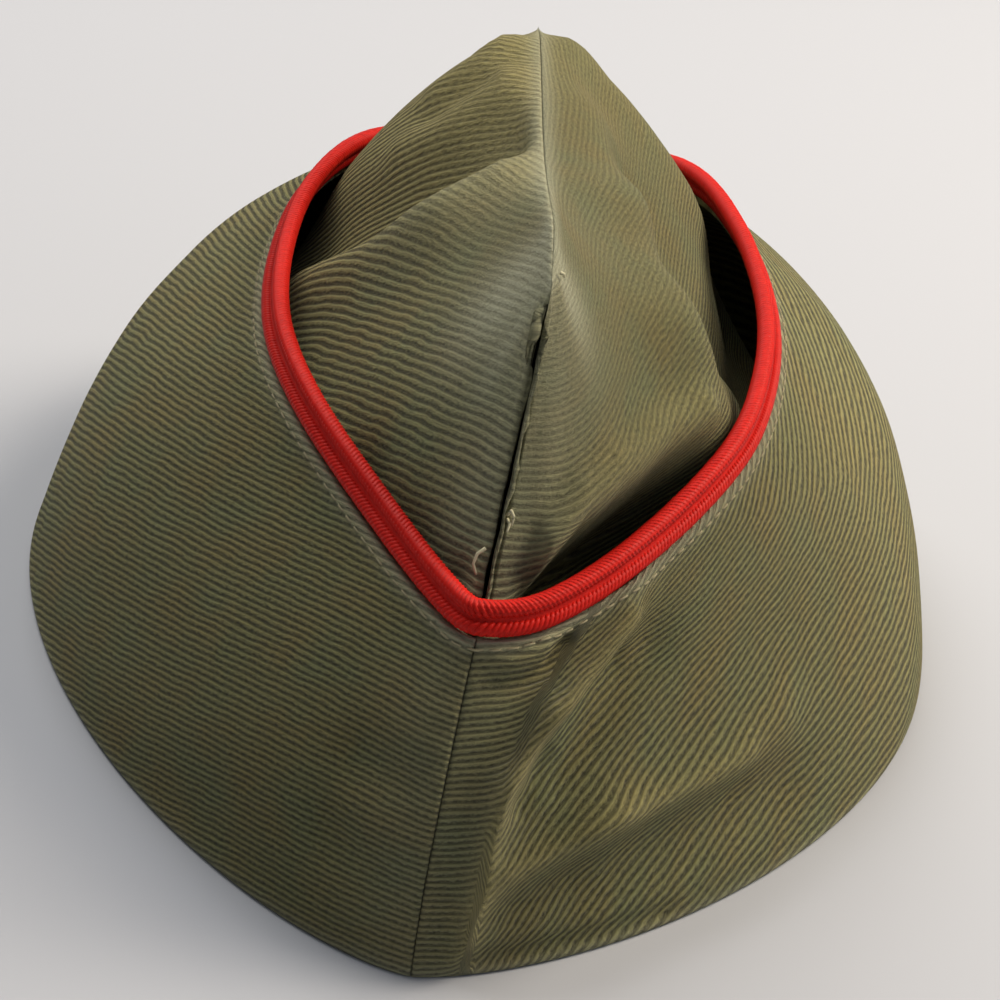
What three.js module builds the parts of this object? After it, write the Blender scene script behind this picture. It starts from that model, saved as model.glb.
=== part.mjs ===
import * as THREE from 'three';

// A soft garrison cap of cotton twill. Two crown panels meet in a centre seam that runs from the front of
// the rim over the ridge to the back. Two flap panels stand up around them, edged with one loop of braid.
// Millimetres, +Z up, front at -Y. The rim lies on z = 0 and the origin is under the middle of the cap.
// Left and right are as seen from the front. On each panel "along" runs from the front seam (0) to the
// back seam (1), and "up" runs from the rim (0) to the ridge or the upper edge (1).

// Driving sizes
const RIM_HALF_LENGTH = 104;
const CAP_HEIGHT = 96;
const RIM_NOSE_POWER = 1.38;
const SIDES = {
  left: { sign: -1, half_width: 84, egg: 26, front_fullness: 2, back_fullness: 9 },
  right: { sign: 1, half_width: 76.5, egg: 8, front_fullness: 4, back_fullness: 6.5 },
};
const CROWN_WALL = 1.8;
const FLAP_WALL = 1.8;
const SEAM_GAP = 0.3;
const SEAM_KEEP = 0.3;
const MITRE_LIMIT = 0.5;
const CROWN_INSET = 2.8;

// The ridge and the centre seam
const FRONT_CORNER = { y: -59, z: 94.5 };
const BACK_CORNER = { y: 58, z: 92.5 };
const RIDGE_RISE = 4;
const RIDGE_ROUNDING = 0.16;
const RIDGE_SAG = 4.5;
const RIDGE_START = 0.2;
const RIDGE_EVEN_SHARE = 0.2;
const FRONT_SEAM_BOW = 2;
const BACK_SEAM_BOW = 9;
const SEAM_BOW_REACH = 0.5;

// How far the cloth stands out from a straight line between its edges
const CROWN_FULL_FROM = 0.35;
const CROWN_FULL_RUN = 0.4;
const CROWN_FULL_HEIGHT_POWER = 1.9;
const CROWN_FULL_END_POWER = 0.8;
const CROWN_OUT = { plan: 0.72, back: 0.6, rise: 0.69 };
const FLAP_OUT = { plan: 0.85, back: 0.75, rise: 0.5 };
const FLAP_BULGE_HEIGHT_POWER = 0.9;

// The top of the cap has turned and leaned a little on the rim
const TOP_TURN = THREE.MathUtils.degToRad(6.5);
const TOP_TURN_POWER = 1.8;
const TOP_LEAN = 2.3;
const RIM_SHIFT = 1;

// The braid along the upper edge of the flap
const BRAID_HALF_HEIGHT = 2.8;
const BRAID_HALF_DEPTH = 1.9;
const BRAID_GROOVE = 0.16;
const BRAID_CLEARANCE = 0.4;
const BRAID_STEPS = 64;
const BRAID_SIDES = 10;
const BRAID_END_DENSITY = 0.5;

// Grid of each panel
const CROWN_STEPS = { along: 34, up: 15 };
const FLAP_STEPS = { along: 32, up: 9 };
const FRONT_DENSITY = 0.45;
const SLOPE_STEP = 0.001;

// The flap's upper edge on each side: its place along the cap, its height, its half width and the bulge below it
const UPPER_EDGE = [
  { along: 0.00, y: -86, z: 52.0, half_left: 0.0, half_right: 0.0, bulge_left: 2.0, bulge_right: 2.0 },
  { along: 0.08, y: -82, z: 52.5, half_left: 5.0, half_right: 9.5, bulge_left: 3.0, bulge_right: 3.0 },
  { along: 0.20, y: -66, z: 56.0, half_left: 16.5, half_right: 22.5, bulge_left: 4.5, bulge_right: 3.5 },
  { along: 0.32, y: -43, z: 61.5, half_left: 31.0, half_right: 35.0, bulge_left: 5.0, bulge_right: 5.0 },
  { along: 0.42, y: -20, z: 63.8, half_left: 39.0, half_right: 39.8, bulge_left: 6.5, bulge_right: 7.0 },
  { along: 0.52, y: 6, z: 65.0, half_left: 41.5, half_right: 40.5, bulge_left: 8.0, bulge_right: 8.0 },
  { along: 0.64, y: 36, z: 65.5, half_left: 39.5, half_right: 36.5, bulge_left: 12.0, bulge_right: 12.0 },
  { along: 0.78, y: 63, z: 64.0, half_left: 31.5, half_right: 28.5, bulge_left: 16.5, bulge_right: 14.0 },
  { along: 0.90, y: 81, z: 59.0, half_left: 18.0, half_right: 16.0, bulge_left: 11.0, bulge_right: 9.0 },
  { along: 1.00, y: 90, z: 54.0, half_left: 0.0, half_right: 0.0, bulge_left: 3.0, bulge_right: 3.0 },
];

// Folds and dents: a straight run on a panel, with its height off the panel and its reach to each side in mm
const FOLDS = {
  crown_left: [
    { from: [0.46, 0.95], to: [0.44, 0.84], height: 2.5, reach: 11 },
    { from: [0.44, 0.84], to: [0.50, 0.56], height: 3.5, reach: 11 },
    { from: [0.53, 0.93], to: [0.51, 0.80], height: -3.0, reach: 10 },
    { from: [0.51, 0.80], to: [0.56, 0.58], height: -4.0, reach: 11 },
    { from: [0.64, 0.90], to: [0.62, 0.64], height: 2.5, reach: 14 },
    { from: [0.07, 0.48], to: [0.24, 0.53], height: -4.5, reach: 12 },
  ],
  crown_right: [
    { from: [0.58, 0.92], to: [0.46, 0.88], height: 2.5, reach: 9 },
    { from: [0.46, 0.88], to: [0.38, 0.74], height: 3.5, reach: 10 },
    { from: [0.38, 0.74], to: [0.36, 0.60], height: 3.5, reach: 12 },
    { from: [0.56, 0.78], to: [0.50, 0.66], height: -3.0, reach: 11 },
    { from: [0.70, 0.92], to: [0.66, 0.66], height: 2.5, reach: 12 },
    { from: [0.10, 0.46], to: [0.26, 0.50], height: -7.0, reach: 11 },
    { from: [0.50, 0.46], to: [0.62, 0.46], height: -5.0, reach: 12 },
  ],
  flap_left: [
    { from: [0.04, 0.55], to: [0.10, 0.53], height: -1.2, reach: 6 },
    { from: [0.03, 0.26], to: [0.10, 0.30], height: -1.2, reach: 6 },
  ],
  flap_right: [
    { from: [0.18, 0.92], to: [0.10, 0.72], height: 2.2, reach: 7 },
    { from: [0.10, 0.72], to: [0.06, 0.54], height: 2.2, reach: 7 },
    { from: [0.06, 0.54], to: [0.055, 0.10], height: 1.8, reach: 7 },
    { from: [0.19, 0.80], to: [0.11, 0.60], height: -2.6, reach: 7 },
    { from: [0.28, 0.38], to: [0.15, 0.38], height: 2.0, reach: 7 },
    { from: [0.15, 0.38], to: [0.08, 0.30], height: 2.0, reach: 6 },
    { from: [0.28, 0.22], to: [0.14, 0.20], height: -2.2, reach: 7 },
  ],
};
const FOLD_SCALE = {
  crown: { along: 270, up: 118 },
  flap: { along: 280, up: 74 },
};
const FOLD_EDGE_FADE = 0.07;

const TWILL_COLOUR = 0x6b6a48;
const TWILL_SHADE_COLOUR = 0x5f5e42;
const BRAID_COLOUR = 0xb5241a;
const TWILL_ROUGHNESS = 0.95;
const BRAID_ROUGHNESS = 0.7;

// Small numeric helpers
function mix(a, b, share) {
  return a + (b - a) * share;
}

function smooth(share) {
  const s = THREE.MathUtils.clamp(share, 0, 1);
  return s * s * (3 - 2 * s);
}

// Reads one column of the edge table at any place along the panel, with a level start and end
// unless the column crosses the centre seam
function edgeColumn(column, along, crossesSeam = false) {
  const rows = UPPER_EDGE;
  let k = 0;
  while (k < rows.length - 2 && along > rows[k + 1].along) {
    k += 1;
  }
  const slopeAt = (i) => {
    const first = Math.max(i - 1, 0);
    const last = Math.min(i + 1, rows.length - 1);
    const atEnd = i === 0 || i === rows.length - 1;
    if (atEnd && !crossesSeam) {
      return 0;
    }
    return (rows[last][column] - rows[first][column]) / (rows[last].along - rows[first].along);
  };
  const run = rows[k + 1].along - rows[k].along;
  const s = (along - rows[k].along) / run;
  const blend = s * s * (3 - 2 * s);
  const startSlope = slopeAt(k) * run * s * (1 - s) * (1 - s);
  const endSlope = slopeAt(k + 1) * run * s * s * (s - 1);
  return mix(rows[k][column], rows[k + 1][column], blend) + startSlope + endSlope;
}

// The rim: a leaf shape, pointed at both seams and widest behind the middle
function rimPoint(side, along, inset) {
  const turn = Math.PI * along;
  const across = Math.sin(turn);
  const x = (side.half_width - inset) * Math.max(across, 0) ** RIM_NOSE_POWER;
  const y = -(RIM_HALF_LENGTH - inset) * Math.cos(turn) + side.egg * across * across;
  return new THREE.Vector3(x, y, 0);
}

function upperEdgePoint(sideName, along) {
  const x = edgeColumn(`half_${sideName}`, along, true);
  return new THREE.Vector3(x, edgeColumn('y', along), edgeColumn('z', along));
}

function ridgePoint(along) {
  const run = smooth((along - RIDGE_START) / (1 - 2 * RIDGE_START));
  const share = mix(run, along, RIDGE_EVEN_SHARE);
  const rise = RIDGE_RISE * smooth(share / RIDGE_ROUNDING) * smooth((1 - share) / RIDGE_ROUNDING);
  const sag = RIDGE_SAG * Math.sin(Math.PI * share) ** 2;
  const y = mix(FRONT_CORNER.y, BACK_CORNER.y, share);
  return new THREE.Vector3(0, y, mix(FRONT_CORNER.z, BACK_CORNER.z, share) + rise - sag);
}

// Direction in which the cloth bulges: across in the middle of the panel, forward or back at its ends
function outward(along, out) {
  const plan = new THREE.Vector2(Math.sin(Math.PI * along), -out.back * Math.cos(Math.PI * along));
  plan.normalize();
  return new THREE.Vector3(out.plan * plan.x, out.plan * plan.y, out.rise);
}

// Height of all folds of a panel at one place: each is highest on its run and dies away beside and beyond it
function foldHeight(rows, scale, along, up) {
  let height = 0;
  for (const fold of rows) {
    const start = new THREE.Vector2(fold.from[0] * scale.along, fold.from[1] * scale.up);
    const run = new THREE.Vector2(fold.to[0] * scale.along, fold.to[1] * scale.up).sub(start);
    const place = new THREE.Vector2(along * scale.along, up * scale.up).sub(start);
    const share = THREE.MathUtils.clamp(place.dot(run) / run.lengthSq(), 0, 1);
    const distance = place.sub(run.multiplyScalar(share)).length();
    height += fold.height * Math.exp(-((distance / fold.reach) ** 2));
  }
  return height;
}

function fade(share) {
  return smooth(share / FOLD_EDGE_FADE);
}

function crownPoint(sideName, along, up) {
  const side = SIDES[sideName];
  const point = rimPoint(side, along, CROWN_INSET).lerp(ridgePoint(along), up);
  const bow = Math.sin(Math.PI * up);
  point.y -= FRONT_SEAM_BOW * bow * (1 - smooth(along / SEAM_BOW_REACH));
  point.y += BACK_SEAM_BOW * bow * (1 - smooth((1 - along) / SEAM_BOW_REACH));
  const toBack = smooth((along - CROWN_FULL_FROM) / CROWN_FULL_RUN);
  const amount = mix(side.front_fullness, side.back_fullness, toBack);
  const ends = Math.max(Math.sin(Math.PI * along), 0) ** CROWN_FULL_END_POWER;
  const full = amount * ends * Math.sin(Math.PI * up ** CROWN_FULL_HEIGHT_POWER);
  const edges = fade(along) * fade(1 - along) * fade(up) * fade(1 - up);
  const folds = foldHeight(FOLDS[`crown_${sideName}`], FOLD_SCALE.crown, along, up) * edges;
  return point.addScaledVector(outward(along, CROWN_OUT), full + folds);
}

function flapPoint(sideName, along, up) {
  const side = SIDES[sideName];
  const point = rimPoint(side, along, 0);
  const rise = upperEdgePoint(sideName, along).sub(point);
  const reach = 1 - (BRAID_HALF_HEIGHT + BRAID_CLEARANCE) / rise.length();
  point.addScaledVector(rise, up * reach);
  const bulge = edgeColumn(`bulge_${sideName}`, along) * Math.sin(Math.PI * up ** FLAP_BULGE_HEIGHT_POWER);
  const edges = fade(along) * fade(1 - along) * fade(up);
  const folds = foldHeight(FOLDS[`flap_${sideName}`], FOLD_SCALE.flap, along, up) * edges;
  return point.addScaledVector(outward(along, FLAP_OUT), bulge + folds);
}

// Puts a point of the even cap on its own side, and turns and leans it with height
function settle(point, sign) {
  const height = Math.max(point.z, 0) / CAP_HEIGHT;
  const turn = TOP_TURN * height ** TOP_TURN_POWER;
  const x = sign * (point.x + SEAM_GAP / 2);
  const settledX = x * Math.cos(turn) - point.y * Math.sin(turn);
  const settledY = x * Math.sin(turn) + point.y * Math.cos(turn);
  return new THREE.Vector3(settledX + mix(RIM_SHIFT, TOP_LEAN, height), settledY, point.z);
}

// Places along a panel, closer together near the front seam
function alongSteps(count) {
  const places = [];
  for (let i = 0; i <= count; i += 1) {
    const s = i / count;
    places.push(mix(s, s * s, FRONT_DENSITY));
  }
  return places;
}

// Inward step from the outer face to the inner face, kept in the plane of a seam, ridge or rim at the borders
function wallStep(surface, along, up, wall, border) {
  const low = [Math.max(along - SLOPE_STEP, 0), Math.max(up - SLOPE_STEP, 0)];
  const high = [Math.min(along + SLOPE_STEP, 1), Math.min(up + SLOPE_STEP, 1)];
  const alongRun = surface(high[0], up).sub(surface(low[0], up));
  const upRun = surface(along, high[1]).sub(surface(along, low[1]));
  const normal = alongRun.cross(upRun).normalize();
  const step = normal.clone();
  if (border.seam) {
    step.x = 0;
  }
  if (border.rim) {
    step.z = 0;
  }
  step.normalize();
  return step.multiplyScalar(-wall / Math.max(step.dot(normal), MITRE_LIMIT));
}

// A closed shell of even wall thickness from one panel's outer face
function panelShell(surface, sign, steps, wall, meetsAtTop) {
  const places = alongSteps(steps.along);
  const rowLength = steps.up + 1;
  const layerSize = places.length * rowLength;
  const outer = [];
  const inner = [];
  places.forEach((along, i) => {
    for (let j = 0; j <= steps.up; j += 1) {
      const up = j / steps.up;
      const atSeam = i === 0 || i === steps.along || (meetsAtTop && j === steps.up);
      const point = surface(along, up);
      const step = wallStep(surface, along, up, wall, { seam: atSeam, rim: j === 0 });
      const within = point.clone().add(step);
      within.x = Math.max(within.x, SEAM_KEEP * point.x);
      outer.push(settle(point, sign));
      inner.push(settle(within, sign));
    }
  });
  const faces = [];
  const quad = (a, b, c, d) => {
    if (sign > 0) {
      faces.push(a, b, c, a, c, d);
    } else {
      faces.push(a, c, b, a, d, c);
    }
  };
  const at = (i, j) => i * rowLength + j;
  for (let i = 0; i < steps.along; i += 1) {
    for (let j = 0; j < steps.up; j += 1) {
      quad(at(i, j), at(i + 1, j), at(i + 1, j + 1), at(i, j + 1));
      const k = layerSize;
      quad(k + at(i, j), k + at(i, j + 1), k + at(i + 1, j + 1), k + at(i + 1, j));
    }
    quad(at(i, 0), layerSize + at(i, 0), layerSize + at(i + 1, 0), at(i + 1, 0));
    const top = steps.up;
    quad(at(i, top), at(i + 1, top), layerSize + at(i + 1, top), layerSize + at(i, top));
  }
  for (let j = 0; j < steps.up; j += 1) {
    const end = steps.along;
    quad(at(0, j), at(0, j + 1), layerSize + at(0, j + 1), layerSize + at(0, j));
    quad(at(end, j), layerSize + at(end, j), layerSize + at(end, j + 1), at(end, j + 1));
  }
  return indexed([...outer, ...inner], faces);
}

function indexed(points, faces) {
  const geometry = new THREE.BufferGeometry();
  geometry.setFromPoints(points);
  geometry.setIndex(faces);
  geometry.computeVertexNormals();
  return geometry;
}

// The braid: a flat band with a groove between its two ribs, carried round the upper edge as one loop
function braidLoop() {
  const half = BRAID_STEPS / 2;
  const places = [];
  for (let k = 0; k < BRAID_STEPS; k += 1) {
    const s = k <= half ? k / half : (BRAID_STEPS - k) / half;
    const eased = mix(s, (1 - Math.cos(Math.PI * s)) / 2, BRAID_END_DENSITY);
    places.push({ along: eased, sideName: k <= half ? 'left' : 'right' });
  }
  const edgeOn = ({ along, sideName }) => {
    const point = upperEdgePoint(sideName, along);
    point.x = Math.max(point.x - SEAM_GAP / 2, -SEAM_GAP / 2);
    return settle(point, SIDES[sideName].sign);
  };
  const rimOn = ({ along, sideName }) => settle(rimPoint(SIDES[sideName], along, 0), SIDES[sideName].sign);
  const points = [];
  places.forEach((place, k) => {
    const before = edgeOn(places[(k + BRAID_STEPS - 1) % BRAID_STEPS]);
    const after = edgeOn(places[(k + 1) % BRAID_STEPS]);
    const centre = edgeOn(place);
    const run = after.sub(before).normalize();
    const rise = centre.clone().sub(rimOn(place));
    rise.addScaledVector(run, -rise.dot(run)).normalize();
    const depth = run.clone().cross(rise);
    for (let j = 0; j < BRAID_SIDES; j += 1) {
      const turn = (2 * Math.PI * j) / BRAID_SIDES;
      const waist = 1 - BRAID_GROOVE * Math.cos(turn) ** 4;
      const point = centre.clone();
      point.addScaledVector(depth, BRAID_HALF_DEPTH * Math.cos(turn) * waist);
      point.addScaledVector(rise, BRAID_HALF_HEIGHT * Math.sin(turn));
      points.push(point);
    }
  });
  const faces = [];
  for (let k = 0; k < BRAID_STEPS; k += 1) {
    const next = (k + 1) % BRAID_STEPS;
    for (let j = 0; j < BRAID_SIDES; j += 1) {
      const beside = (j + 1) % BRAID_SIDES;
      const a = k * BRAID_SIDES + j;
      const b = next * BRAID_SIDES + j;
      const c = next * BRAID_SIDES + beside;
      const d = k * BRAID_SIDES + beside;
      faces.push(a, b, c, a, c, d);
    }
  }
  return indexed(points, faces);
}

function piece(name, geometry, colour, roughness) {
  const material = new THREE.MeshStandardMaterial({ color: colour, roughness, metalness: 0 });
  const mesh = new THREE.Mesh(geometry, material);
  mesh.name = name;
  return mesh;
}

const cap = new THREE.Group();
cap.name = 'garrison_cap';
for (const sideName of Object.keys(SIDES)) {
  const { sign } = SIDES[sideName];
  const crown = (along, up) => crownPoint(sideName, along, up);
  const flap = (along, up) => flapPoint(sideName, along, up);
  const crownGeometry = panelShell(crown, sign, CROWN_STEPS, CROWN_WALL, true);
  const flapGeometry = panelShell(flap, sign, FLAP_STEPS, FLAP_WALL, false);
  cap.add(piece(`crown_${sideName}`, crownGeometry, TWILL_COLOUR, TWILL_ROUGHNESS));
  cap.add(piece(`flap_${sideName}`, flapGeometry, TWILL_SHADE_COLOUR, TWILL_ROUGHNESS));
}
cap.add(piece('braid_edge', braidLoop(), BRAID_COLOUR, BRAID_ROUGHNESS));

// Moves the whole cap so that the origin is under the middle of its box
const box = new THREE.Box3().setFromObject(cap);
const middle = box.getCenter(new THREE.Vector3());
for (const mesh of cap.children) {
  mesh.geometry.translate(-middle.x, -middle.y, -box.min.z);
}

export default cap;
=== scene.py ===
import math

import bpy
import numpy as np
from mathutils import Matrix, Vector


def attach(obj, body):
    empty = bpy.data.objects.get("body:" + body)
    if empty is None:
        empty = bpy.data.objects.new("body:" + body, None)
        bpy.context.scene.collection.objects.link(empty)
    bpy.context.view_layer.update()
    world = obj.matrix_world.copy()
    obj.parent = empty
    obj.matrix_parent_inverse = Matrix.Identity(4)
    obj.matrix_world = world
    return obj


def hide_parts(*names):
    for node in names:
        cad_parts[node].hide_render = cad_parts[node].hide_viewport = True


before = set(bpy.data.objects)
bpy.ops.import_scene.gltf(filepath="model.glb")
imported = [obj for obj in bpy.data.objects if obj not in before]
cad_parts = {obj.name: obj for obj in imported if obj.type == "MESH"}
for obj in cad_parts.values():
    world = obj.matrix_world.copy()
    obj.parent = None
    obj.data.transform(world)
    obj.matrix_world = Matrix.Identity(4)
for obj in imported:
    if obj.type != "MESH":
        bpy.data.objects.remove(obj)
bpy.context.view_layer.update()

bl_info = {
    "name": "Garrison Cap",
    "version": (1, 0, 0),
    "blender": (4, 5, 0),
    "location": "3D View > Sidebar > Cap",
    "description": "Builds the cloth panels, braid, stitching and stage of a worn garrison cap",
    "category": "Object",
}

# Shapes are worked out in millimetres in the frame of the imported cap, front at -Y, and scaled once at the
# end. Left and right are as seen from the front. On a panel, along runs from the front seam (0) to the back
# seam (1) and up runs from the rim (0) to the ridge or the upper edge (1).
MM = 0.001

# Sizes of the cap
RIM_HALF_LENGTH = 104.0
CAP_HEIGHT = 96.0
RIM_NOSE_POWER = 1.38
CROWN_INSET = 2.8
SEAM_GAP = 0.3
SEAM_KEEP = 0.3
MITRE_LIMIT = 0.5
SEAM_STEP = 0.3
CENTRE_SHIFT = 2.744
SIDES = {
    "left": {"sign": -1, "half_width": 84.0, "egg": 26.0, "front_fullness": 2.0, "back_fullness": 9.0},
    "right": {"sign": 1, "half_width": 76.5, "egg": 8.0, "front_fullness": 4.0, "back_fullness": 6.5},
}

# The ridge and the centre seam
FRONT_CORNER = (-59.0, 94.5)
BACK_CORNER = (58.0, 92.5)
RIDGE_RISE = 4.0
RIDGE_ROUNDING = 0.16
RIDGE_SAG = 4.5
RIDGE_START = 0.2
RIDGE_EVEN_SHARE = 0.2
FRONT_SEAM_BOW = 2.0
BACK_SEAM_BOW = 9.0
SEAM_BOW_REACH = 0.5

# How far the cloth stands out from a straight line between its edges
CROWN_FULL_FROM = 0.35
CROWN_FULL_RUN = 0.4
CROWN_FULL_HEIGHT_POWER = 1.9
CROWN_FULL_END_POWER = 0.8
CROWN_OUT = {"plan": 0.72, "back": 0.6, "rise": 0.69}
FLAP_OUT = {"plan": 0.85, "back": 0.75, "rise": 0.5}
FLAP_BULGE_HEIGHT_POWER = 0.9

# The top has turned and leaned a little on the rim
TOP_TURN = math.radians(6.5)
TOP_TURN_POWER = 1.8
TOP_LEAN = 2.3
RIM_SHIFT = 1.0

# The braid's section and its place on the upper edge
BRAID_HALF_HEIGHT = 2.8
BRAID_CLEARANCE = 0.05

# The flap's upper edge: place along the panel, y, height, half width and bulge of each side
EDGE_COLUMNS = ("along", "y", "z", "half_left", "half_right", "bulge_left", "bulge_right")
EDGE_ROWS = (
    (0.00, -86.0, 52.0, 0.0, 0.0, 2.0, 2.0),
    (0.08, -82.0, 52.5, 5.0, 9.5, 3.0, 3.0),
    (0.20, -66.0, 56.0, 16.5, 22.5, 4.5, 3.5),
    (0.32, -43.0, 61.5, 31.0, 35.0, 5.0, 5.0),
    (0.42, -20.0, 63.8, 39.0, 39.8, 6.5, 7.0),
    (0.52, 6.0, 65.0, 41.5, 40.5, 8.0, 8.0),
    (0.64, 36.0, 65.5, 39.5, 36.5, 12.0, 12.0),
    (0.78, 63.0, 64.0, 31.5, 28.5, 16.5, 14.0),
    (0.90, 81.0, 59.0, 18.0, 16.0, 11.0, 9.0),
    (1.00, 90.0, 54.0, 0.0, 0.0, 3.0, 3.0),
)
EDGE = {name: np.array(values) for name, values in zip(EDGE_COLUMNS, zip(*EDGE_ROWS))}

# Folds of each panel: height off the panel and reach in mm, how far the crest is rubbed smooth and pale, and
# the run that it follows as (along, up) places. A fold with a minus height is a dent. The wide ones carry the
# shape, the narrow ones crease it.
FOLD_COLUMNS = ("height", "reach", "rubbed", "run")
FOLD_ROWS = {
    "crown_left": (
        (2.5, 11.0, 0.0, ((0.46, 0.95), (0.44, 0.84))),
        (3.5, 11.0, 0.0, ((0.44, 0.84), (0.5, 0.56))),
        (-3.0, 10.0, 0.0, ((0.53, 0.93), (0.51, 0.8))),
        (-4.0, 11.0, 0.0, ((0.51, 0.8), (0.56, 0.58))),
        (2.5, 14.0, 0.0, ((0.64, 0.9), (0.62, 0.64))),
        (-4.5, 12.0, 0.0, ((0.07, 0.48), (0.24, 0.53))),
        (1.0, 5.0, 0.0, ((0.46, 0.97), (0.44, 0.86), (0.46, 0.725), (0.495, 0.6))),
        (-1.4, 5.0, 0.0, ((0.51, 0.95), (0.5, 0.85), (0.51, 0.7), (0.535, 0.6))),
        (1.4, 4.5, 0.0, ((0.605, 0.965), (0.596, 0.95), (0.579, 0.857), (0.586, 0.763))),
        (1.8, 5.0, 0.0, ((0.67, 0.97), (0.634, 0.921), (0.621, 0.847))),
        (-1.2, 3.5, 0.0, ((0.635, 0.965), (0.612, 0.91), (0.603, 0.83))),
    ),
    "crown_right": (
        (2.5, 9.0, 0.0, ((0.58, 0.92), (0.46, 0.88))),
        (3.5, 10.0, 0.0, ((0.46, 0.88), (0.38, 0.74))),
        (3.5, 12.0, 0.0, ((0.38, 0.74), (0.36, 0.6))),
        (-3.0, 11.0, 0.0, ((0.56, 0.78), (0.5, 0.66))),
        (2.5, 12.0, 0.0, ((0.7, 0.92), (0.66, 0.66))),
        (-7.0, 11.0, 0.0, ((0.1, 0.46), (0.26, 0.5))),
        (-5.0, 12.0, 0.0, ((0.5, 0.46), (0.62, 0.46))),
        (1.0, 5.0, 0.0, ((0.64, 0.95), (0.52, 0.91), (0.41, 0.83), (0.38, 0.69))),
        (0.9, 6.0, 0.0, ((0.74, 0.94), (0.67, 0.9), (0.64, 0.62))),
        (-24.0, 6.5, 0.0, ((0.11, 0.48), (0.17, 0.535), (0.23, 0.55), (0.29, 0.535), (0.32, 0.51))),
        (4.0, 4.5, 0.25, ((0.11, 0.6), (0.16, 0.645), (0.22, 0.665), (0.29, 0.655), (0.34, 0.63))),
        (3.0, 9.0, 0.0, ((0.38, 0.6), (0.43, 0.56))),
    ),
    "flap_left": (
        (-1.2, 6.0, 0.0, ((0.04, 0.55), (0.1, 0.53))),
        (-1.2, 6.0, 0.0, ((0.03, 0.26), (0.1, 0.3))),
    ),
    "flap_right": (
        (2.2, 7.0, 0.0, ((0.18, 0.92), (0.1, 0.72))),
        (2.2, 7.0, 0.0, ((0.1, 0.72), (0.06, 0.54))),
        (1.8, 7.0, 0.0, ((0.06, 0.54), (0.055, 0.1))),
        (-2.6, 7.0, 0.0, ((0.19, 0.8), (0.11, 0.6))),
        (2.0, 7.0, 0.0, ((0.28, 0.38), (0.15, 0.38))),
        (2.0, 6.0, 0.0, ((0.15, 0.38), (0.08, 0.3))),
        (-2.2, 7.0, 0.0, ((0.28, 0.22), (0.14, 0.2))),
        (2.0, 3.2, 0.6, ((0.17, 0.9), (0.092, 0.72), (0.06, 0.54), (0.052, 0.08))),
        (-2.4, 3.4, 0.0, ((0.165, 0.8), (0.135, 0.75), (0.098, 0.66), (0.08, 0.5))),
        (1.3, 3.2, 0.4, ((0.25, 0.36), (0.15, 0.37), (0.08, 0.29), (0.058, 0.21))),
        (-1.2, 4.0, 0.0, ((0.25, 0.27), (0.15, 0.28), (0.09, 0.2))),
        (1.8, 2.6, 0.0, ((0.022, 0.93), (0.05, 0.915), (0.08, 0.935))),
        (-1.8, 1.6, 0.0, ((0.02, 0.87), (0.06, 0.86), (0.09, 0.885), (0.11, 0.94))),
        (-2.0, 1.5, 0.0, ((0.055, 0.045), (0.12, 0.05), (0.2, 0.04))),
    ),
}
FOLDS = {panel: [dict(zip(FOLD_COLUMNS, row)) for row in rows] for panel, rows in FOLD_ROWS.items()}

# Length and height of each kind of panel in mm, and the shares of a panel in which folds fade at its edges
FOLD_SCALE = {"crown": (270.0, 118.0), "flap": (280.0, 74.0)}
FOLD_EDGE_FADE = 0.07
RIDGE_FADE = 0.05

# Cloth edges: the radius in mm with which each is turned under
PANEL_EDGES = {
    "crown": {"front": 1.0, "back": 0.4, "top": 0.9, "rim": 0.8},
    "flap": {"front": 0.6, "back": 0.5, "top": 0.9, "rim": 0.8},
}

# Seams, in mm: how they close, how the crown's front seam opens raggedly between two heights, how its right
# side sinks under the left, the welt along the ridge and the lip along the flap's upper edge
SEAM_CLOSING = 0.12
SEAM_OPENING = {
    "width": 0.38, "reach": 2.5, "from": 0.22, "to": 1.0, "fade": 0.07, "ragged": 0.6, "tooth": 5.0,
}
SEAM_LAP = {"left": 0.5, "right": -0.4, "reach": 4.0}
RIDGE_WELT = {"height": 0.5, "reach": 2.0, "rounding": 0.6, "ends": 9.0}
FLAP_LIP = {"height": 0.5, "place": 1.5, "reach": 1.0}

# Soft waviness as wave length and height in mm, how it calms towards the borders, and the pucker of the seams
WAVES = ((34.0, 0.55), (15.0, 0.22))
CALM = {"seam": 6.0, "rim": 6.0, "top": 4.0, "share_at_seam": 0.35}
PUCKER = {"length": 7.0, "height": 0.22, "reach": 5.0, "wander": 3.0}
NOISE_CELLS = 64
NOISE_START = 500.0

# Grids of the panels: extra steps close to an edge in mm, counts along and up, and the crowding to the front
EDGE_STEPS = (0.2, 0.5, 0.9, 1.4, 2.0, 2.8)
EDGE_STEP_ROOM = 1.2
PANEL_GRIDS = {"crown": (150, 64), "flap": (150, 46)}
PATTERN_GRID = (49, 17)
FRONT_DENSITY = 0.45

# Worn pale patches: place along and up, reach in mm and strength. Worn edges: reach in mm and strength
WORN_PATCHES = {
    "crown_left": ((0.27, 0.93, 15.0, 1.0), (0.17, 0.90, 12.0, 0.5), (0.44, 0.95, 24.0, 0.25)),
    "crown_right": ((0.24, 0.95, 11.0, 0.7), (0.40, 0.97, 16.0, 0.12)),
}
WORN_EDGES = {
    "crown": {"front": (13.0, 0.45), "back": (2.0, 0.3), "top": (2.2, 0.65), "rim": (1.5, 0.3)},
    "flap": {"front": (12.0, 0.2), "back": (2.0, 0.3), "top": (1.9, 0.85), "rim": (1.6, 0.45)},
}

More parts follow.
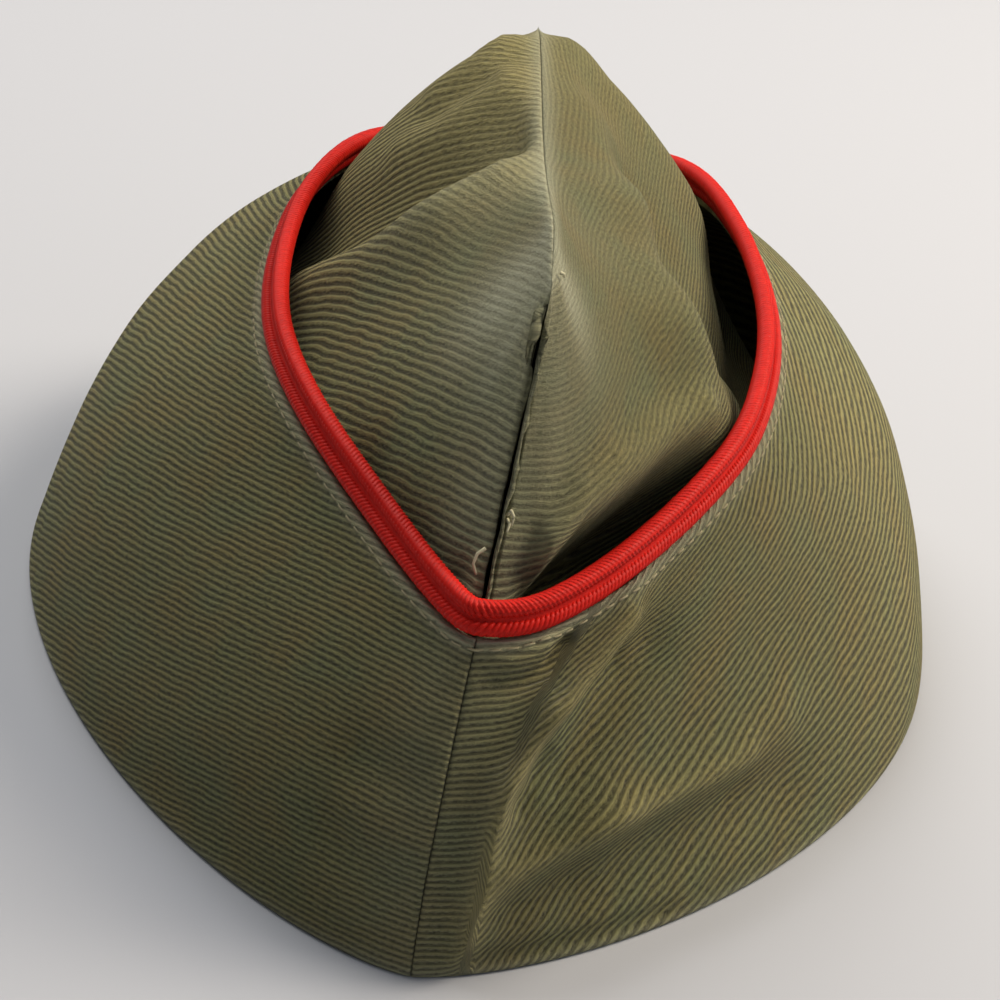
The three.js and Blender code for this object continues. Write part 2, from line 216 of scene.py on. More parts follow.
# Patches of painted light, where the olive is painted paler and more yellow where light falls on the tops:
# place along and up, reach in mm and strength. Each mm of a fold adds painted light to that, up to a height
PAINTED_LIGHT_PATCHES = {
    "crown_left": ((0.60, 0.86, 42.0, 0.8),),
    "crown_right": ((0.68, 0.95, 30.0, 0.4),),
    "flap_left": ((0.62, 0.70, 50.0, 0.25),),
    "flap_right": ((0.50, 0.60, 45.0, 0.35),),
}
PAINTED_LIGHT_BY_FOLD = {"each_mm": 0.03, "most_mm": 4.0}

# Share of the ribs rubbed smooth at the top of the crown, the height where it starts and is full, and the
# share on the rubbed crest of a fold
NAPPED = {
    "crown_left": {"share": 0.65, "from": 0.70, "to": 0.92},
    "crown_right": {"share": 0.72, "from": 0.45, "to": 0.85},
}
CREST_NAPPED = 0.8

# Loose threads at the front seam: the panel, then places along and up it with the lift off the cloth in mm
LOOSE_THREADS = (
    ("crown_right", ((0.010, 0.668, 0.0), (0.018, 0.674, 0.9), (0.028, 0.664, 1.1), (0.032, 0.650, 0.4))),
    ("crown_right", ((0.012, 0.662, 0.0), (0.021, 0.655, 0.7), (0.018, 0.643, 0.9))),
    ("crown_left", ((0.018, 0.618, 0.0), (0.027, 0.608, 0.7), (0.028, 0.594, 0.8), (0.021, 0.580, 0.2))),
    ("crown_right", ((0.205, 0.985, 0.3), (0.213, 0.978, 0.6), (0.220, 0.972, 0.3))),
)

# Slope of the twill ribs on the flat pattern of each panel, as degrees at places in mm from the front seam,
# and the first place, last place and count of the steps in which the slope is added up
RIB_SLOPES = {
    "crown_left": ((0.0, -5.0), (15.0, -7.0), (30.0, -10.0), (75.0, -10.0), (100.0, -42.0), (300.0, -45.0)),
    "crown_right": (
        (0.0, -4.0), (5.0, 2.0), (12.0, 30.0), (20.0, 39.0), (35.0, 30.0), (60.0, 16.0), (110.0, 32.0),
    ),
    "flap_left": ((0.0, -7.0), (20.0, -9.0), (45.0, -14.0), (110.0, -12.0)),
    "flap_right": (
        (-20.0, 0.0), (-5.0, -3.0), (0.0, 20.0), (4.0, 50.0), (14.0, 46.0), (60.0, 46.0), (120.0, 38.0),
    ),
}
RIB_RANGE = (-60.0, 400.0, 921)
# Where the ribs start to turn on a panel, as mm from the front seam at heights in mm on the flat pattern
RIB_TURNS = {
    "flap_right": ((-30.0, 2.5), (-10.0, 5.5), (1.5, 8.5), (12.0, 12.5), (23.0, 22.0), (32.0, 28.0)),
}
NO_TURN = ((0.0, 0.0),)
# Distance between ribs up each flat pattern against the rib pitch of the cloth, at mm from the front seam
RIB_SPREAD = {
    "crown_left": ((0.0, 1.22),),
    "crown_right": ((0.0, 1.04),),
    "flap_left": ((0.0, 0.90),),
    "flap_right": ((-0.5, 0.78), (1.0, 1.25), (40.0, 1.65), (110.0, 2.2)),
}

# The braid in mm: its two ribs, how deep their yarns are sunk, and the turns in degrees of a yarn and a rib
BRAID_RIB = {"place": 1.4, "out": 1.45, "rise": 1.3, "sunk": 0.3}
BRAID_PATH_POINTS = 420
BRAID_PATH_EASING = 0.5
SECTION_POINTS = 11
YARN_TURN = (-60.0, 240.0, SECTION_POINTS)
RIB_TURN = (-55.0, 235.0, SECTION_POINTS)
YARN_SIDES = 5
BRAID_UNEVENNESS = 0.01

# Stitches in mm: distance of the row from the edge, depth of a stitch's ends, height and share of its
# straight middle, how uneven they are, and the places left out at both ends of a row
STITCH = {"from_edge": 1.9, "sunk": -0.25, "lift": 0.1, "straight": 0.6, "unevenness": 0.12, "row_ends": 3}
THREAD_SIDES = 6
THREAD_TAPER = 0.6

# A tube that starts this nearly upright takes its sides from another axis
NEARLY_UPRIGHT = 0.9

# The stage: floor in mm, room light, each lamp's place, width, power and colour in metres and watts, and the
# camera's sensor in mm and nearest distance in metres
FLOOR_HALF_WIDTH = 3000.0
FLOOR_LEVEL = -0.1
ROOM_LIGHT = {"colour": "#eef1f6", "strength": 0.2}
LAMPS = (
    ("key light", (0.72, 0.26, 0.78), 0.6, 14.0, "#fff1de"),
    ("top light", (-0.30, 0.55, 0.98), 0.9, 10.5, "#fffaf4"),
    ("fill light", (0.6, -0.75, 0.9), 0.8, 1.2, "#f2f4ff"),
)
LAMP_TARGET = (0.0, 0.0, 0.04)
FLOOR_COLOUR = "#b6b9bf"
SENSOR_WIDTH = 36.0
CLIP_START = 0.01

# Looks of the twill: noises as scale per mm, detail and roughness; sways in mm; heights in ribs; ranges as
# from and to, one of them painting shade into the rib grooves and light onto the rib tops; colours of the two
# dyes, of cloth under painted light and of worn cloth
TWILL = {
    "name": "worn olive cotton twill",
    "fibre_stretch": (0.8, 1.5, 1.0),
    "fibre_noise": (1.5, 5.0, 0.75),
    "sway_noise": (0.14, 3.0),
    "sway": 1.0,
    "fibre_sway": 0.7,
    "rib_wave": (-0.85, 0.85),
    "rubbed_level": 0.5,
    "fibre_height": 2.6,
    "blotch_noise": (0.07, 5.0, 0.6),
    "blotch": (0.35, 0.65),
    # painted shade in the rib grooves and painted light on the rib tops, as a factor on the colour
    "groove": (1.1, 2.5, 0.22, 1.5),
    "crest": (1.0, 2.4, 0.4),
    "brown": "#7b7246",
    "green": "#72744c",
    # colour of the painted light on tops and raised folds, and of rubbed crests
    "painted_light_and_rub": "#9a905c",
    "worn": "#b4b498",
}
BRAID_TONES = {"noise": (900.0, 3.0), "dark": "#a8100b", "light": "#d82317"}


def mix(first, second, share):
    return first + (second - first) * share


def smooth(share):
    held = np.clip(share, 0.0, 1.0)
    return held * held * (3.0 - 2.0 * held)


def bell(distance, reach):
    """Falls from 1 towards 0 over a reach, level at its top."""
    return np.exp(-((distance / reach) ** 2))


def vectors(x, y, z):
    return np.stack(np.broadcast_arrays(x, y, z), axis=-1).astype(float)


def unit(rows):
    length = np.linalg.norm(rows, axis=-1, keepdims=True)
    return rows / np.maximum(length, 1e-9)


def edge_column(name, along, crosses_seam=False):
    """Reads one column of the edge table at any place, level at its ends unless it crosses the seam."""
    places = EDGE["along"]
    values = EDGE[name]
    slopes = np.zeros_like(values)
    slopes[1:-1] = (values[2:] - values[:-2]) / (places[2:] - places[:-2])
    if crosses_seam:
        slopes[0] = (values[1] - values[0]) / (places[1] - places[0])
        slopes[-1] = (values[-1] - values[-2]) / (places[-1] - places[-2])
    k = np.clip(np.searchsorted(places, along, side="left") - 1, 0, len(places) - 2)
    run = places[k + 1] - places[k]
    s = (along - places[k]) / run
    start = slopes[k] * run * s * (1.0 - s) ** 2
    end = slopes[k + 1] * run * s * s * (s - 1.0)
    return mix(values[k], values[k + 1], s * s * (3.0 - 2.0 * s)) + start + end


def rim_points(side, along, inset):
    across = np.maximum(np.sin(np.pi * along), 0.0)
    x = (side["half_width"] - inset) * across ** RIM_NOSE_POWER
    y = -(RIM_HALF_LENGTH - inset) * np.cos(np.pi * along) + side["egg"] * across**2
    return vectors(x, y, np.zeros_like(along))


def upper_edge_points(side_name, along):
    x = edge_column(f"half_{side_name}", along, True)
    return vectors(x, edge_column("y", along), edge_column("z", along))


def ridge_points(along):
    run = smooth((along - RIDGE_START) / (1.0 - 2.0 * RIDGE_START))
    share = mix(run, along, RIDGE_EVEN_SHARE)
    rise = RIDGE_RISE * smooth(share / RIDGE_ROUNDING) * smooth((1.0 - share) / RIDGE_ROUNDING)
    sag = RIDGE_SAG * np.sin(np.pi * share) ** 2
    y = mix(FRONT_CORNER[0], BACK_CORNER[0], share)
    z = mix(FRONT_CORNER[1], BACK_CORNER[1], share) + rise - sag
    return vectors(np.zeros_like(along), y, z)


def outward(along, out):
    plan = unit(np.stack([np.sin(np.pi * along), -out["back"] * np.cos(np.pi * along)], axis=-1))
    return vectors(out["plan"] * plan[..., 0], out["plan"] * plan[..., 1], np.full_like(along, out["rise"]))


def run_distance(run, scale, along, up):
    """Distance in mm from each place of a panel to a run of straight lines on it."""
    place = np.stack([along * scale[0], up * scale[1]], axis=-1)
    nearest = np.full(along.shape, np.inf)
    for first, last in zip(run[:-1], run[1:]):
        start = np.array(first) * scale
        line = np.array(last) * scale - start
        share = np.clip(((place - start) @ line) / (line @ line), 0.0, 1.0)
        away = np.linalg.norm(place - start - share[..., None] * line, axis=-1)
        nearest = np.minimum(nearest, away)
    return nearest


def fold_sum(panel, column, along, up):
    """Adds up one column of the panel's folds, each falling off with the distance from its run."""
    scale = np.array(FOLD_SCALE[panel.split("_")[0]])
    amount = np.zeros_like(along)
    for fold in FOLDS[panel]:
        away = run_distance(fold["run"], scale, along, up)
        amount += fold[column] * bell(away, fold["reach"])
    return amount


def fade(share):
    return smooth(share / FOLD_EDGE_FADE)


def crown_points(side_name, along, up):
    side = SIDES[side_name]
    points = mix(rim_points(side, along, CROWN_INSET), ridge_points(along), up[..., None])
    bow = np.sin(np.pi * up)
    points[..., 1] -= FRONT_SEAM_BOW * bow * (1.0 - smooth(along / SEAM_BOW_REACH))
    points[..., 1] += BACK_SEAM_BOW * bow * (1.0 - smooth((1.0 - along) / SEAM_BOW_REACH))
    to_back = smooth((along - CROWN_FULL_FROM) / CROWN_FULL_RUN)
    amount = mix(side["front_fullness"], side["back_fullness"], to_back)
    ends = np.maximum(np.sin(np.pi * along), 0.0) ** CROWN_FULL_END_POWER
    full = amount * ends * np.sin(np.pi * up**CROWN_FULL_HEIGHT_POWER)
    edges = fade(along) * fade(1.0 - along) * fade(up) * smooth((1.0 - up) / RIDGE_FADE)
    folds = fold_sum(f"crown_{side_name}", "height", along, up) * edges
    return points + outward(along, CROWN_OUT) * (full + folds)[..., None]


def flap_points(side_name, along, up):
    side = SIDES[side_name]
    points = rim_points(side, along, 0.0)
    rise = upper_edge_points(side_name, along) - points
    reach = 1.0 - (BRAID_HALF_HEIGHT + BRAID_CLEARANCE) / np.linalg.norm(rise, axis=-1)
    points = points + rise * (up * reach)[..., None]
    bulge = edge_column(f"bulge_{side_name}", along) * np.sin(np.pi * up**FLAP_BULGE_HEIGHT_POWER)
    edges = fade(along) * fade(1.0 - along) * fade(up)
    folds = fold_sum(f"flap_{side_name}", "height", along, up) * edges
    return points + outward(along, FLAP_OUT) * (bulge + folds)[..., None]


def settle(points, sign):
    """Puts points of the even cap on their own side, and turns and leans them with height."""
    height = np.maximum(points[..., 2], 0.0) / CAP_HEIGHT
    turn = TOP_TURN * height**TOP_TURN_POWER
    x = sign * (points[..., 0] + SEAM_GAP / 2.0)
    y = points[..., 1]
    settled_x = x * np.cos(turn) - y * np.sin(turn) + mix(RIM_SHIFT, TOP_LEAN, height)
    settled_y = x * np.sin(turn) + y * np.cos(turn)
    return vectors(settled_x + CENTRE_SHIFT, settled_y, points[..., 2])


def soft_noise(across, upward, length, seed):
    """Smooth random waviness from -1 to 1, with the given wave length in mm."""
    cells = NOISE_CELLS
    field = np.random.default_rng(seed).uniform(-1.0, 1.0, (cells, cells))
    x = across / length
    y = upward / length
    i = np.floor(x).astype(int)
    j = np.floor(y).astype(int)
    share_x = smooth(x - i)
    share_y = smooth(y - j)
    low = mix(field[i % cells, j % cells], field[(i + 1) % cells, j % cells], share_x)
    high = mix(field[i % cells, (j + 1) % cells], field[(i + 1) % cells, (j + 1) % cells], share_x)
    return mix(low, high, share_y)


def grid_normals(points):
    return unit(np.cross(np.gradient(points, axis=0), np.gradient(points, axis=1)))


def edge_distances(points):
    """Distance in mm from every place of a grid to its four borders, along the grid's own lines."""
    along_run = np.linalg.norm(np.diff(points, axis=0), axis=-1)
    up_run = np.linalg.norm(np.diff(points, axis=1), axis=-1)
    front = np.concatenate([np.zeros((1, points.shape[1])), np.cumsum(along_run, axis=0)])
    rim = np.concatenate([np.zeros((points.shape[0], 1)), np.cumsum(up_run, axis=1)], axis=1)
    return {"front": front, "back": front[-1:] - front, "rim": rim, "top": rim[:, -1:] - rim}


def roll_depth(away, radius):
    """How far an edge that is turned under with a radius lies below the face, at a distance from the edge."""
    share = np.clip(1.0 - away / radius, 0.0, 1.0)
    return radius * (1.0 - np.sqrt(1.0 - share**2))


def crowded(count, density):
    """Places from 0 to 1, the closer together towards 0 the higher the density."""
    even = np.linspace(0.0, 1.0, count)
    return mix(even, even**2, density)


def grid_places(count, length, density):
    """Places from 0 to 1 along a panel, with extra ones close to both ends."""
    places = crowded(count + 1, density)
    near = np.array(EDGE_STEPS) / length
    room = near[-1] * EDGE_STEP_ROOM
    inner = places[(places > room) & (places < 1.0 - room)]
    return np.concatenate([[0.0], near, inner, 1.0 - near[::-1], [1.0]])


def flat_pattern(points):
    """Lays a panel's grid flat with its angles kept, in mm: front seam at the left, rim at the bottom."""
    rows, columns = points.shape[:2]
    index = np.arange(rows * columns).reshape(rows, columns)
    corners = [index[:-1, :-1], index[1:, :-1], index[1:, 1:], index[:-1, 1:]]
    a, b, c, d = [corner.ravel() for corner in corners]
    triangles = np.concatenate([np.stack([a, b, c], axis=1), np.stack([a, c, d], axis=1)])
    flat = points.reshape(-1, 3)
    first = flat[triangles[:, 1]] - flat[triangles[:, 0]]
    second = flat[triangles[:, 2]] - flat[triangles[:, 0]]
    base = np.linalg.norm(first, axis=1)
    shift = np.sum(second * first, axis=1) / base
    height = np.linalg.norm(second - first * (shift / base)[:, None], axis=1)
    local = np.stack([np.zeros_like(base), base, shift + 1j * height], axis=1)
    weight = np.sqrt(base * height)
    system = np.zeros((len(triangles), rows * columns), complex)
    number = np.arange(len(triangles))
    for k in range(3):
        system[number, triangles[:, k]] = (local[:, (k + 2) % 3] - local[:, (k + 1) % 3]) / weight
    pins = np.array([index[rows // 8, columns // 2], index[rows // 2, columns // 2]])
    free = np.setdiff1d(np.arange(rows * columns), pins)
    target = -system[:, pins] @ np.array([0.0, 1.0])
    solved = np.zeros(rows * columns, complex)
    solved[pins] = [0.0, 1.0]
    held = system[:, free]
    solved[free] = np.linalg.solve(held.conj().T @ held, held.conj().T @ target)
    front_half = triangles[np.max(triangles // columns, axis=1) < rows // 2]
    sides = solved[front_half]
    flat_area = np.abs(np.imag(np.conj(sides[:, 1] - sides[:, 0]) * (sides[:, 2] - sides[:, 0]))).sum()
    real = flat[front_half]
    real_area = np.linalg.norm(np.cross(real[:, 1] - real[:, 0], real[:, 2] - real[:, 0]), axis=1).sum()
    laid = solved.reshape(rows, columns) * math.sqrt(real_area / flat_area)
    upright = laid[rows // 4, -1] - laid[rows // 4, 0]
    laid = laid * 1j * np.conj(upright) / abs(upright)
    laid = laid - laid[0, columns // 2]
    return np.stack([laid.real, laid.imag], axis=-1)


def bilinear(table, along_places, up_places, along, up):
    """Reads a grid table at other places."""
    halfway = np.stack([np.interp(along, along_places, table[:, j]) for j in range(table.shape[1])], axis=1)
    return np.stack([np.interp(up, up_places, halfway[i]) for i in range(len(along))])


def rib_places(panel, pattern):
    """Turns the flat pattern into rib places: first along the ribs, second across them, in mm."""
    away = np.linspace(*RIB_RANGE)
    places, degrees = zip(*RIB_SLOPES[panel])
    slope = np.tan(np.radians(np.interp(away, places, degrees)))
    rise = np.concatenate([[0.0], np.cumsum((slope[1:] + slope[:-1]) / 2.0 * np.diff(away))])
    heights, starts = zip(*RIB_TURNS.get(panel, NO_TURN))
    shifted = pattern[..., 0] - np.interp(pattern[..., 1], heights, starts)
    across = pattern[..., 1] - np.interp(shifted, away, rise)
    spread = np.interp(shifted, *zip(*RIB_SPREAD[panel]))
    return np.stack([pattern[..., 0], across / spread], axis=-1)


def mesh_object(name, points, faces, uv=None, values=None):
    """A smooth mesh object at the origin from points in mm, with an optional UV map and point values."""
    mesh = bpy.data.meshes.new(name)
    corner_lists = [list(map(int, face)) for face in faces]
    mesh.from_pydata((np.asarray(points) * MM).tolist(), [], corner_lists, shade_flat=False)
    if uv is not None:
        layer = mesh.uv_layers.new(name="cloth_mm")
        corners = np.zeros(len(mesh.loops), np.int32)
        mesh.loops.foreach_get("vertex_index", corners)
        layer.data.foreach_set("uv", uv[corners].astype(np.float32).ravel())
    for key, numbers in (values or {}).items():
        attribute = mesh.attributes.new(key, "FLOAT", "POINT")
        attribute.data.foreach_set("value", np.asarray(numbers, np.float32).ravel())
    mesh.update()
    made = bpy.data.objects.new(name, mesh)
    bpy.context.scene.collection.objects.link(made)
    return made


def shell_faces(rows, columns, sign):
    """Faces of a closed shell from an outer grid followed by an inner grid of the same size."""
    index = np.arange(rows * columns).reshape(rows, columns)
    under = index + rows * columns

    def strip(a, b, c, d):
        return np.stack([a.ravel(), b.ravel(), c.ravel(), d.ravel()], axis=1)

    faces = [
        strip(index[:-1, :-1], index[1:, :-1], index[1:, 1:], index[:-1, 1:]),
        strip(under[:-1, :-1], under[:-1, 1:], under[1:, 1:], under[1:, :-1]),
        strip(index[:-1, 0], under[:-1, 0], under[1:, 0], index[1:, 0]),
        strip(index[:-1, -1], index[1:, -1], under[1:, -1], under[:-1, -1]),
        strip(index[0, :-1], index[0, 1:], under[0, 1:], under[0, :-1]),
        strip(index[-1, :-1], under[-1, :-1], under[-1, 1:], index[-1, 1:]),
    ]
    faces = np.concatenate(faces)
    if sign < 0:
        faces = faces[:, ::-1]
    return faces


def panel_surface(panel, along, up):
    kind, side_name = panel.split("_")
    if kind == "crown":
        return crown_points(side_name, along, up)
    return flap_points(side_name, along, up)


def panel_face(panel):
    """The panel's outer face with its waviness and seam pull, its normals and its border distances."""
    kind, side_name = panel.split("_")
    length, height = FOLD_SCALE[kind]
    count_along, count_up = PANEL_GRIDS[kind]
    along_places = grid_places(count_along, length, FRONT_DENSITY)
    up_places = grid_places(count_up, height, 0.0)
    along, up = np.meshgrid(along_places, up_places, indexing="ij")
    face = panel_surface(panel, along, up)
    normals = grid_normals(face)
    away = edge_distances(face)
    seed = sorted(FOLDS).index(panel)
    across = along * length
    upward = up * height
    relief = np.zeros_like(along)
    for number, (wave, amount) in enumerate(WAVES):
        relief += amount * soft_noise(across + NOISE_START, upward + NOISE_START, wave, seed * 10 + number)
    for border in ("front", "back"):
        pull = PUCKER["height"] * np.exp(-away[border] / PUCKER["reach"])
        relief += pull * np.sin(2.0 * np.pi * upward / PUCKER["length"] + PUCKER["wander"] * relief)
    ends = smooth(away["front"] / CALM["seam"]) * smooth(away["back"] / CALM["seam"])
    low = smooth(away["rim"] / CALM["rim"]) * smooth(away["top"] / CALM["top"])
    relief = relief * mix(CALM["share_at_seam"], 1.0, ends) * low
    closing = np.minimum(away["front"], away["back"])
    near_ridge = bell(away["top"], RIDGE_WELT["reach"])
    if kind == "crown":
        fades = SEAM_OPENING["fade"]
        open_part = smooth((up - SEAM_OPENING["from"]) / fades) * smooth((SEAM_OPENING["to"] - up) / fades)
        near_seam = np.exp(-away["front"] / SEAM_LAP["reach"])
        relief += SEAM_LAP[side_name] * open_part * near_seam
        relief += RIDGE_WELT["height"] * near_ridge * smooth(closing / RIDGE_WELT["ends"])
        ragged = 1.0 + SEAM_OPENING["ragged"] * soft_noise(across, upward, SEAM_OPENING["tooth"], seed)
        gap = np.exp(-away["front"] / SEAM_OPENING["reach"])
        face[..., 0] += SEAM_OPENING["width"] * ragged * open_part * gap
        closing = np.minimum(away["back"], away["top"])
    else:
        relief += FLAP_LIP["height"] * bell(away["top"] - FLAP_LIP["place"], FLAP_LIP["reach"])
    face[..., 0] -= SEAM_CLOSING * np.exp(-closing)
    face = face + normals * relief[..., None]
    if kind == "crown":
        drift = face[:, -1:, 0] + SEAM_CLOSING
        face[..., 0] -= drift * near_ridge
        face[..., 2] -= RIDGE_WELT["rounding"] * near_ridge
    return along_places, up_places, face, grid_normals(face), away


def patch_amount(panel, patches, along, up):
    scale = np.array(FOLD_SCALE[panel.split("_")[0]])
    amount = np.zeros_like(along)
    for at_along, at_up, reach, strength in patches.get(panel, ()):
        distance = np.hypot((along - at_along) * scale[0], (up - at_up) * scale[1])
        amount += strength * bell(distance, reach)
    return amount


def wear_light_and_nap(panel, along_places, up_places, away):
    """How worn pale, how much paler and more yellow with painted light and rubbed crests, and how smooth the
    cloth is at every place of a panel, from 0 to 1.
    """
    kind = panel.split("_")[0]
    along, up = np.meshgrid(along_places, up_places, indexing="ij")
    worn = patch_amount(panel, WORN_PATCHES, along, up)
    for border, (reach, strength) in WORN_EDGES[kind].items():
        worn += strength * bell(away[border], reach)
    # Painted light: paler and more yellow at the listed patches near the tops and on each mm of a raised
    # fold, where the light falls; rubbed crests add to it below
    painted_light_and_rub = patch_amount(panel, PAINTED_LIGHT_PATCHES, along, up)
    raised = np.clip(fold_sum(panel, "height", along, up), 0.0, PAINTED_LIGHT_BY_FOLD["most_mm"])
    painted_light_and_rub += PAINTED_LIGHT_BY_FOLD["each_mm"] * raised
    crest = fold_sum(panel, "rubbed", along, up)
    napped = CREST_NAPPED * crest
    if panel in NAPPED:
        rubbed = NAPPED[panel]
        napped += rubbed["share"] * smooth((up - rubbed["from"]) / (rubbed["to"] - rubbed["from"]))
    values = {"wear": worn, "painted_light_and_rub": painted_light_and_rub + crest, "napped": napped}
    return {name: np.clip(amount, 0.0, 1.0).ravel() for name, amount in values.items()}


def build_panel(panel, wall):
    """One cloth panel as a closed shell with turned-under edges."""
    kind, side_name = panel.split("_")
    sign = SIDES[side_name]["sign"]
    along_places, up_places, face, normals, away = panel_face(panel)
    depth = np.zeros(face.shape[:2])
    for border, radius in PANEL_EDGES[kind].items():
        depth = np.maximum(depth, roll_depth(away[border], radius))
    outer = face - normals * depth[..., None]
    outer[..., 0] = np.maximum(outer[..., 0], -SEAM_CLOSING)
    outer[..., 2] = np.maximum(outer[..., 2], 0.0)
    step = normals.copy()
    if kind == "crown":
        step[:, -1] = (0.0, 0.0, 1.0)
    for border, way in ((0, -1.0), (-1, 1.0)):
        step[border, :, 0] = 0.0
        step[border, :, 1] = way * np.maximum(np.abs(step[border, :, 1]), SEAM_STEP)
        step[border, :, 2] = np.maximum(step[border, :, 2], 0.0)
    step[:, 0, 2] = 0.0
    step = unit(step)
    steep = np.maximum(np.sum(step * normals, axis=-1, keepdims=True), MITRE_LIMIT)
    inner = face - step * wall / steep
    inner[..., 0] = np.maximum(inner[..., 0], SEAM_KEEP * face[..., 0])
    inner[..., 0] = np.minimum(inner[..., 0], outer[..., 0])
    inner[..., 2] = np.maximum(inner[..., 2], 0.0)
    coarse_along = crowded(PATTERN_GRID[0], FRONT_DENSITY)
    coarse_up = np.linspace(0.0, 1.0, PATTERN_GRID[1])
    coarse = np.meshgrid(coarse_along, coarse_up, indexing="ij")
    pattern = flat_pattern(panel_surface(panel, *coarse))
    fine = [bilinear(pattern[..., k], coarse_along, coarse_up, along_places, up_places) for k in range(2)]
    ribs = rib_places(panel, np.stack(fine, axis=-1)).reshape(-1, 2)
    # Wear, painted light with rubbed crests, and nap of every place
    worn = wear_light_and_nap(panel, along_places, up_places, away)
    points = np.concatenate([settle(outer, sign).reshape(-1, 3), settle(inner, sign).reshape(-1, 3)])
    faces = shell_faces(len(along_places), len(up_places), sign)
    return mesh_object(
        f"{panel}_cloth",
        points,
        faces,
        np.concatenate([ribs, ribs]),
        {name: np.concatenate([amount, amount]) for name, amount in worn.items()},
    )


def upper_edge_loop():
    """Points of the flap's upper edge as one loop, with the directions up the flap and outward."""
    share = np.linspace(0.0, 1.0, BRAID_PATH_POINTS // 2 + 1)
    eased = mix(share, (1.0 - np.cos(np.pi * share)) / 2.0, BRAID_PATH_EASING)
    loops = []
    for side_name, places in (("left", eased[:-1]), ("right", eased[:0:-1])):
        sign = SIDES[side_name]["sign"]
        edge = upper_edge_points(side_name, places)
        edge[..., 0] = np.maximum(edge[..., 0] - SEAM_GAP / 2.0, -SEAM_GAP / 2.0)
        rim = rim_points(SIDES[side_name], places, 0.0)
        loops.append((settle(edge, sign), settle(rim, sign)))
    centre = np.concatenate([loops[0][0], loops[1][0]])
    rim = np.concatenate([loops[0][1], loops[1][1]])
    run = unit(np.roll(centre, -1, axis=0) - np.roll(centre, 1, axis=0))
    rise = centre - rim
    rise = unit(rise - run * np.sum(rise * run, axis=1, keepdims=True))
    return centre, rise, np.cross(rise, run)


def tube(path, radius, sides):
    """Points and faces of a closed round tube along a path in mm, with one radius or one for each point."""
    path = np.asarray(path, float)
    radius = np.broadcast_to(np.asarray(radius, float), (len(path),))
    run = unit(np.gradient(path, axis=0))
    helper = np.array([0.0, 0.0, 1.0])
    if abs(run[0] @ helper) > NEARLY_UPRIGHT:
        helper = np.array([0.0, 1.0, 0.0])
    across = unit(np.cross(run, helper))
    over = np.cross(across, run)
    turn = 2.0 * np.pi * np.arange(sides) / sides
    ring = across[:, None] * np.cos(turn)[None, :, None] + over[:, None] * np.sin(turn)[None, :, None]
    points = (path[:, None] + ring * radius[:, None, None]).reshape(-1, 3)
    faces = []
    for i in range(len(path) - 1):
        for j in range(sides):
            beside = (j + 1) % sides
            faces.append((i * sides + j, (i + 1) * sides + j, (i + 1) * sides + beside, i * sides + beside))
    faces.append(tuple(range(sides)))
    faces.append(tuple(range((len(path) - 1) * sides, len(path) * sides))[::-1])
    return points, faces


# Materials

def linear_colour(code):
    """Turns an sRGB hex code into linear red, green, blue and alpha."""
    channels = [int(code[k : k + 2], 16) / 255.0 for k in (1, 3, 5)]
    linear = [c / 12.92 if c <= 0.04045 else ((c + 0.055) / 1.055) ** 2.4 for c in channels]
    return (*linear, 1.0)


def add_node(tree, kind, inputs=None, out=0, **settings):
    """Adds one node and gives one of its outputs. An input is a plain value, or an output to be joined to."""
    node = tree.nodes.new(kind)
    for key, value in settings.items():
        setattr(node, key, value)
    for key, value in (inputs or {}).items():
        if isinstance(value, bpy.types.NodeSocket):
            tree.links.new(value, node.inputs[key])
        else:
            node.inputs[key].default_value = value
    return node.outputs[out] if len(node.outputs) else None


def worked(tree, operation, *values, **settings):
    return add_node(tree, "ShaderNodeMath", dict(enumerate(values)), operation=operation, **settings)


def noise(tree, place, scale, detail, roughness=0.5):
    inputs = {"Vector": place, "Scale": scale, "Detail": detail, "Roughness": roughness}
    return add_node(tree, "ShaderNodeTexNoise", inputs, "Fac")


def ranged(tree, value, low, high, to_low=0.0, to_high=1.0, kind="LINEAR"):
    """Turns a value between low and high into one between two others, held at both ends."""
    inputs = {"Value": value, "From Min": low, "From Max": high, "To Min": to_low, "To Max": to_high}
    return add_node(tree, "ShaderNodeMapRange", inputs, interpolation_type=kind)


def blended(tree, share, first, second, blend="MIX"):
    """A colour between two others. A colour that is the same all over is given by its hex code."""
    first, second = [linear_colour(tone) if isinstance(tone, str) else tone for tone in (first, second)]
    inputs = {0: share, 6: first, 7: second}
    return add_node(tree, "ShaderNodeMix", inputs, 2, data_type="RGBA", blend_type=blend)


def point_value(tree, name):
    return add_node(tree, "ShaderNodeAttribute", None, "Fac", attribute_name=name)


def new_material(name):
    material = bpy.data.materials.new(name)
    material.use_nodes = True
    tree = material.node_tree
    tree.nodes.clear()
    return material, tree


def add_surface(tree, looks):
    shader = add_node(tree, "ShaderNodeBsdfPrincipled", looks)
    add_node(tree, "ShaderNodeOutputMaterial", {"Surface": shader})


